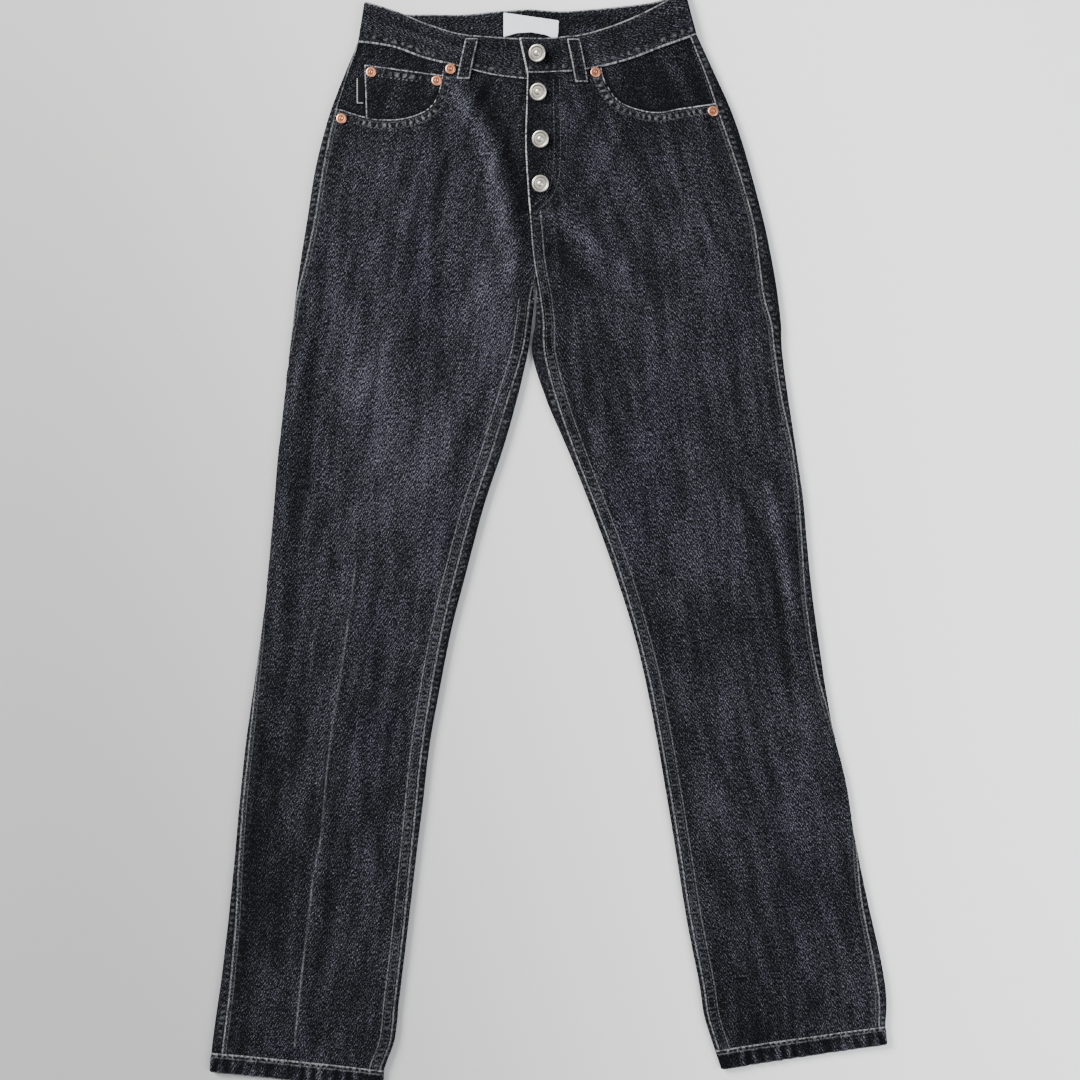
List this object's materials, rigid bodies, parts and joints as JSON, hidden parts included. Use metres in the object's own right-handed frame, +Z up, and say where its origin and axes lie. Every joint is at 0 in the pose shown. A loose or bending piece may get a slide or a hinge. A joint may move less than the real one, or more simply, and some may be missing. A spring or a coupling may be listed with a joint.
{
  "type": "straight leg jeans laid flat",
  "caption": "Straight leg denim jeans laid flat, front up, with a buttoned fly, scoop front pockets, a coin pocket, belt loops, a back yoke and turned hems.",
  "frame": {"origin": "on the surface, under the middle of the whole garment", "axes": "+Y towards the waist, +X towards the wearer's left, +Z up from the surface"},
  "size_m": [0.641, 1.04, 0.0148],
  "materials": {
    "denim_front": "black denim twill washed to grey, matt",
    "denim_back": "black denim twill washed to grey, matt",
    "denim_band": "doubled denim with worn, paler edges",
    "denim_hem": "turned denim, roped and worn on its ridges",
    "denim_pocket": "denim kept darker inside the pocket mouths",
    "denim_loop": "narrow denim straps with worn edges",
    "button_metal": "aged nickel, worn and a little stained",
    "rivet_copper": "dull copper",
    "label_satin": "plain white satin tape",
    "tab_tape": "plain black woven tape"
  },
  "bodies": {
    "root": {"front_panel_right": "denim_front", "front_panel_left": "denim_front", "back_panel_right": "denim_back", "back_panel_left": "denim_back", "yoke_right": "denim_back", "yoke_left": "denim_back", "back_pocket_right": "denim_pocket", "back_pocket_left": "denim_pocket", "pocket_facing_right": "denim_pocket", "pocket_facing_left": "denim_pocket", "coin_pocket": "denim_pocket", "fly_placket": "denim_pocket", "hem_right": "denim_hem", "hem_left": "denim_hem", "waistband": "denim_band", "belt_loop_front_right": "denim_loop", "belt_loop_front_left": "denim_loop", "belt_loop_back_1": "denim_loop", "belt_loop_back_2": "denim_loop", "belt_loop_back_3": "denim_loop", "button_waist": "button_metal", "button_fly_1": "button_metal", "button_fly_2": "button_metal", "button_fly_3": "button_metal", "rivet_pocket_right_top": "rivet_copper", "rivet_pocket_right_side": "rivet_copper", "rivet_coin_side": "rivet_copper", "rivet_coin_middle": "rivet_copper", "rivet_pocket_left_top": "rivet_copper", "rivet_pocket_left_side": "rivet_copper", "neck_label": "label_satin", "side_tab": "tab_tape"}
  },
  "joints": []
}
